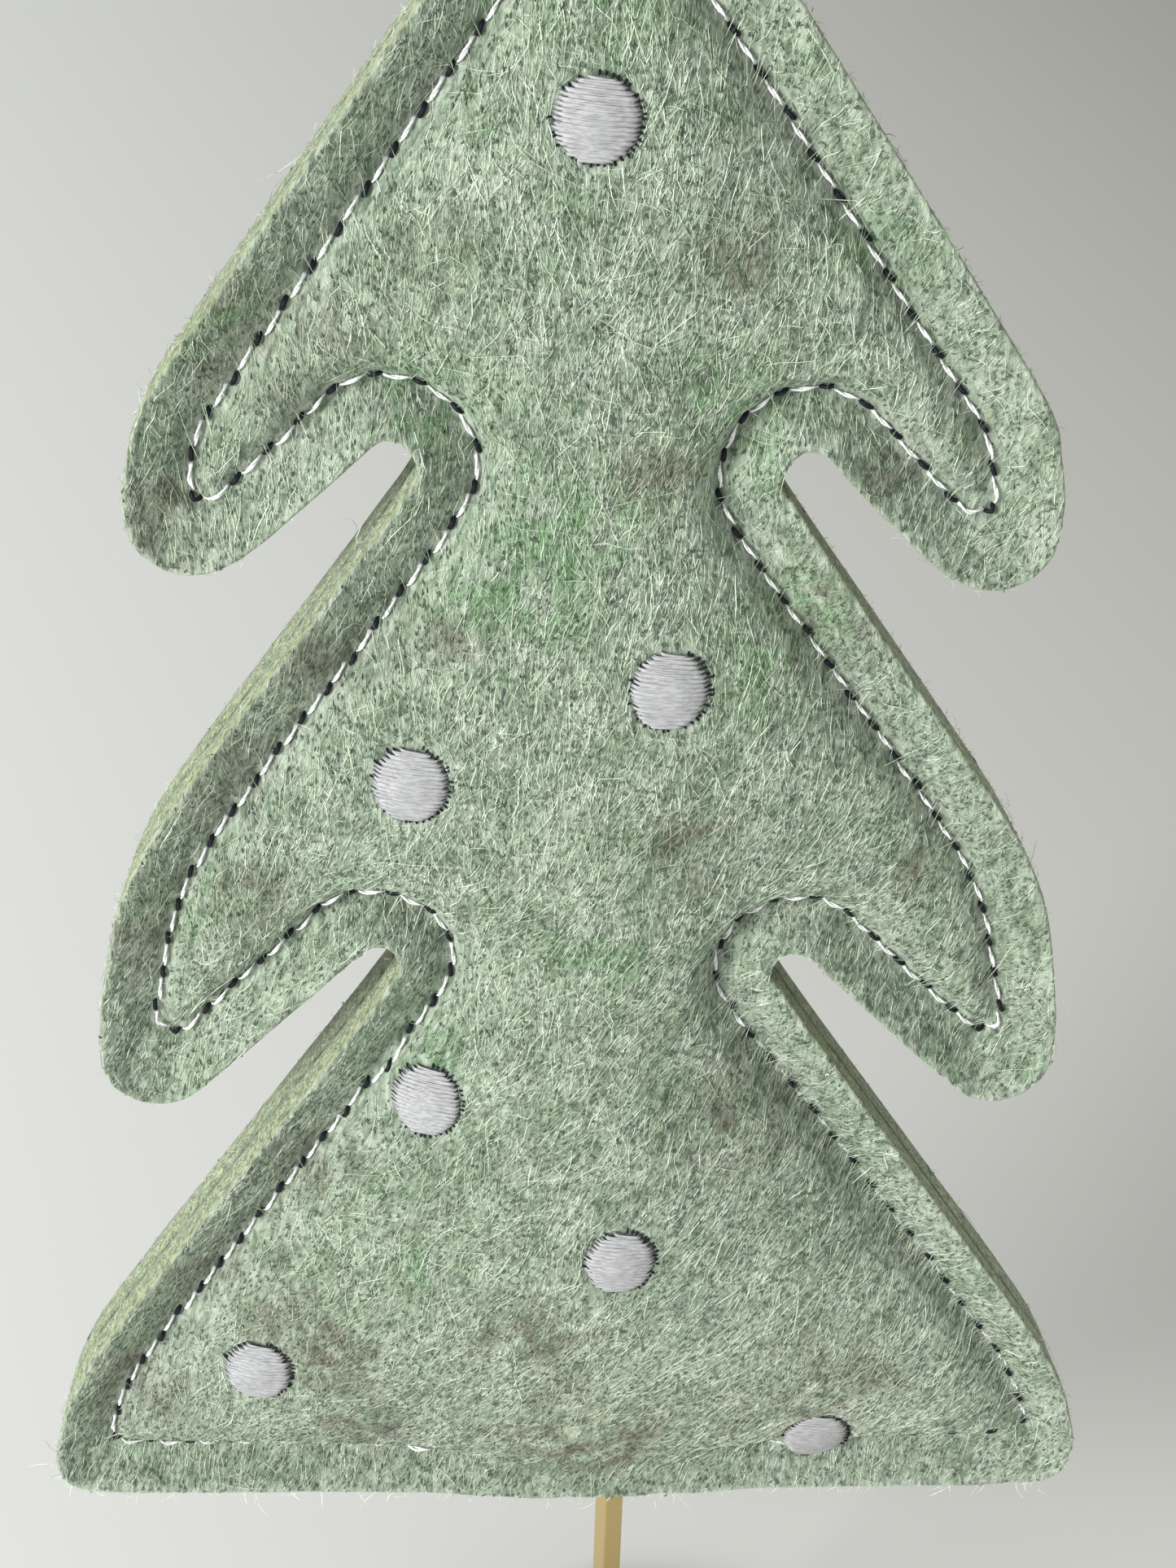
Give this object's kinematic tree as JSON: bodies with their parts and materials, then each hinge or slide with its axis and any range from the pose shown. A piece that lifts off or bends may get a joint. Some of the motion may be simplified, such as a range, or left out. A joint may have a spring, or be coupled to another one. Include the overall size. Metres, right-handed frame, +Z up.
{
  "type": "felt christmas tree",
  "caption": "Stuffed felt Christmas tree with embroidered dots, sewn round its edge, standing on a thin square metal rod with a round foot.",
  "frame": {"origin": "on the ground under the rod's axis, at the centre of the foot pad's underside", "axes": "+Z up along the rod, -Y out of the embroidered front, +X to the right seen from the front"},
  "size_m": [0.093, 0.05, 0.1983],
  "materials": {
    "green_felt": "thick needled felt, marled pale green",
    "white_fibre": "loose polyester fibre",
    "white_thread": "glossy embroidery thread",
    "dark_thread": "matt dark thread",
    "gold_metal": "satin gold",
    "dark_pad": "matt foam rubber"
  },
  "bodies": {
    "root": {"front_panel": "green_felt", "back_panel": "green_felt", "fibre_filling": "white_fibre", "seam_needle_thread": "white_thread", "seam_bobbin_thread": "dark_thread", "dot_1": "white_thread", "dot_2": "white_thread", "dot_3": "white_thread", "dot_4": "white_thread", "dot_5": "white_thread", "dot_6": "white_thread", "dot_7": "white_thread", "dot_1_bobbin_thread": "dark_thread", "dot_2_bobbin_thread": "dark_thread", "dot_3_bobbin_thread": "dark_thread", "dot_4_bobbin_thread": "dark_thread", "dot_5_bobbin_thread": "dark_thread", "dot_6_bobbin_thread": "dark_thread", "dot_7_bobbin_thread": "dark_thread", "stand_rod": "gold_metal", "braze_fillet": "gold_metal", "foot_plate": "gold_metal", "foot_pad": "dark_pad"}
  },
  "joints": []
}
